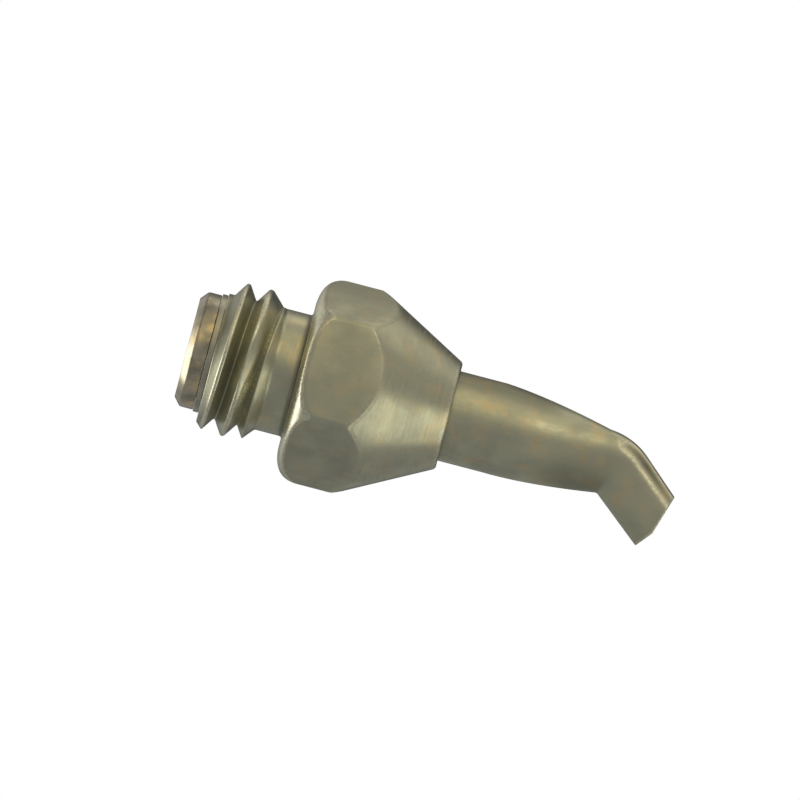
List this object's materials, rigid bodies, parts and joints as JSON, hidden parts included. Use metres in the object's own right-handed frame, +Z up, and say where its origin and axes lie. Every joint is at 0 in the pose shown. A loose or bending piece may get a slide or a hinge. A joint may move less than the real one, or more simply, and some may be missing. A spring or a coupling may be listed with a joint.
{
  "type": "oil burner nozzle",
  "caption": "Bent, flattened spout tube with a seat collar and inner strainer, clamped in a burner by a coned hexagon gland nut with a short left-hand thread.",
  "frame": {"origin": "on the axis of the thread and tube, in the plane of the hexagon's rear face", "axes": "+X along the axis towards the spout, +Z up, and the bend turns the tip down towards -Z"},
  "size_m": [0.0331, 0.013, 0.0136],
  "materials": {
    "nickel_plated_brass": "satin nickel plate over turned brass, with a warm cast",
    "nickel_plated_tube": "satin nickel plate, brushed along the tube",
    "polished_seat": "polished nickel plate, mottled by use",
    "washer_nickel_silver": "bright, stamped",
    "silver_solder": "dull silver solder",
    "copper_washer": "annealed copper",
    "turned_brass": "turned, unplated",
    "bronze_gauze": "fine woven wire"
  },
  "bodies": {
    "gland": {"gland_nut": "nickel_plated_brass"},
    "slip": {"slip_washer": "washer_nickel_silver"},
    "spout": {"spout_tube": "nickel_plated_tube", "seat_collar": "polished_seat", "solder_ring": "silver_solder", "jet_washer": "copper_washer", "metering_jet": "turned_brass", "strainer_frame": "turned_brass", "strainer_gauze": "bronze_gauze", "strainer_cap": "turned_brass"}
  },
  "joints": [
    {"name": "spout_push_back", "type": "slide", "parent": "gland", "child": "slip", "axis": [-1, 0, 0], "range_m": [0, 0.0105]},
    {"name": "spout_swivel", "type": "hinge", "parent": "slip", "child": "spout", "pos_m": [0, 0, 0], "axis": [1, 0, 0], "continuous": true}
  ]
}
